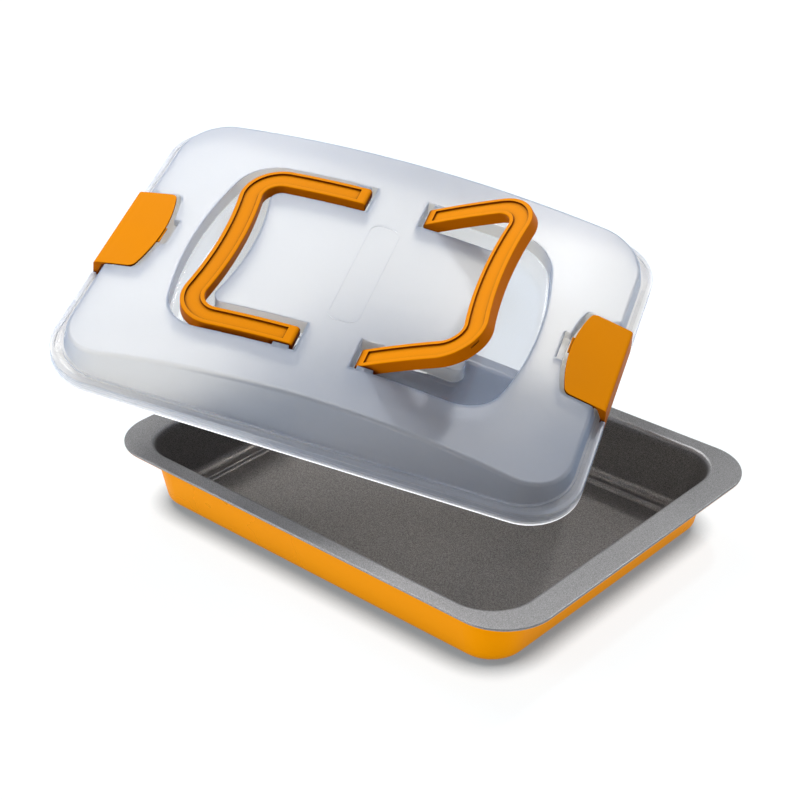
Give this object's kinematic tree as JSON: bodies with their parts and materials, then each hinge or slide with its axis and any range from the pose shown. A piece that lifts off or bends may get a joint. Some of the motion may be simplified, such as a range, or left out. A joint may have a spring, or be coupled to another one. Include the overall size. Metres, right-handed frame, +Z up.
{
  "type": "baking pan with lid",
  "caption": "Rectangular non-stick baking pan with an arched carrying lid, fold-down handles and rocker clips, lid lifted off.",
  "frame": {"origin": "centre of the pan's underside, on the surface it stands on", "axes": "+X along the pan's length, +Y across its width, +Z up; the lid is held lifted, turned 25.9 deg, pitched 10.6 deg and rolled 17.5 deg above it"},
  "size_m": [0.5086, 0.412, 0.2269],
  "materials": {
    "coated_steel": "orange enamel outside, dark grey speckled non-stick coating inside and over the rim",
    "frosted_plastic": "frosted translucent polypropylene, clearer in the recesses",
    "orange_plastic": "orange moulded plastic with a fine satin grain"
  },
  "bodies": {
    "pan": {"pan": "coated_steel"},
    "lid": {"lid": "frosted_plastic"},
    "handle_left": {"handle_left": "orange_plastic"},
    "handle_right": {"handle_right": "orange_plastic"},
    "clip_left": {"clip_left": "orange_plastic"},
    "clip_right": {"clip_right": "orange_plastic"}
  },
  "joints": [
    {"name": "lid_lift", "type": "slide", "parent": "pan", "child": "lid", "axis": [0, 0, 1], "range_m": [0, 0.25]},
    {"name": "handle_left_fold", "type": "hinge", "parent": "lid", "child": "handle_left", "pos_m": [-0.10296, 0.00093, 0.17402], "axis": [-0.3668, 0.8821, 0.2956], "range_deg": [0, 112.5]},
    {"name": "handle_right_fold", "type": "hinge", "parent": "lid", "child": "handle_right", "pos_m": [-0.04637, 0.0284, 0.16225], "axis": [0.3668, -0.8821, -0.2956], "range_deg": [-34, 78.5]},
    {"name": "clip_left_release", "type": "hinge", "parent": "lid", "child": "clip_left", "pos_m": [-0.24819, -0.06219, 0.18214], "axis": [-0.3668, 0.8821, 0.2956], "range_deg": [0, 10], "stiffness_Nm_per_rad": 0.05, "springref_deg": -5.73},
    {"name": "clip_right_release", "type": "hinge", "parent": "lid", "child": "clip_right", "pos_m": [0.08604, 0.10011, 0.11261], "axis": [0.3668, -0.8821, -0.2956], "range_deg": [0, 10], "stiffness_Nm_per_rad": 0.05, "springref_deg": -5.73}
  ]
}
